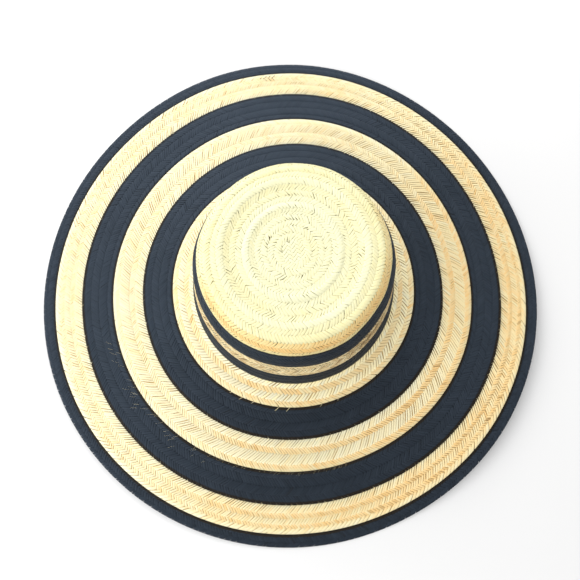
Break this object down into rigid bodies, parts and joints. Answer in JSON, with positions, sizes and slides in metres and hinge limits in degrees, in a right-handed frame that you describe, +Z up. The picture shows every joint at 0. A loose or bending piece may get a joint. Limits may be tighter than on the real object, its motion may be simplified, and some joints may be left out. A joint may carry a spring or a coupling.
{
  "type": "straw hat",
  "caption": "Wide-brimmed sun hat of overlapping rings of plaited straw, natural and black, with a flat-topped crown and a slack, drooping brim.",
  "frame": {"origin": "middle of the brim, on the surface that the rim rests on", "axes": "+Z up out of the crown, -Y towards the front of the hat, +X to the right in the picture"},
  "size_m": [0.48, 0.48, 0.1259],
  "materials": {
    "natural_straw": "plaited palm straw, satin",
    "black_straw": "dyed plaited palm straw, satin"
  },
  "bodies": {
    "root": {"crown_tip": "natural_straw", "crown_upper_black_row": "black_straw", "crown_natural_row": "natural_straw", "crown_lower_black_row": "black_straw", "brim_inner_natural_row": "natural_straw", "brim_inner_black_row": "black_straw", "brim_middle_natural_row": "natural_straw", "brim_outer_black_row": "black_straw", "brim_outer_natural_row": "natural_straw", "brim_edge_row": "black_straw"}
  },
  "joints": []
}
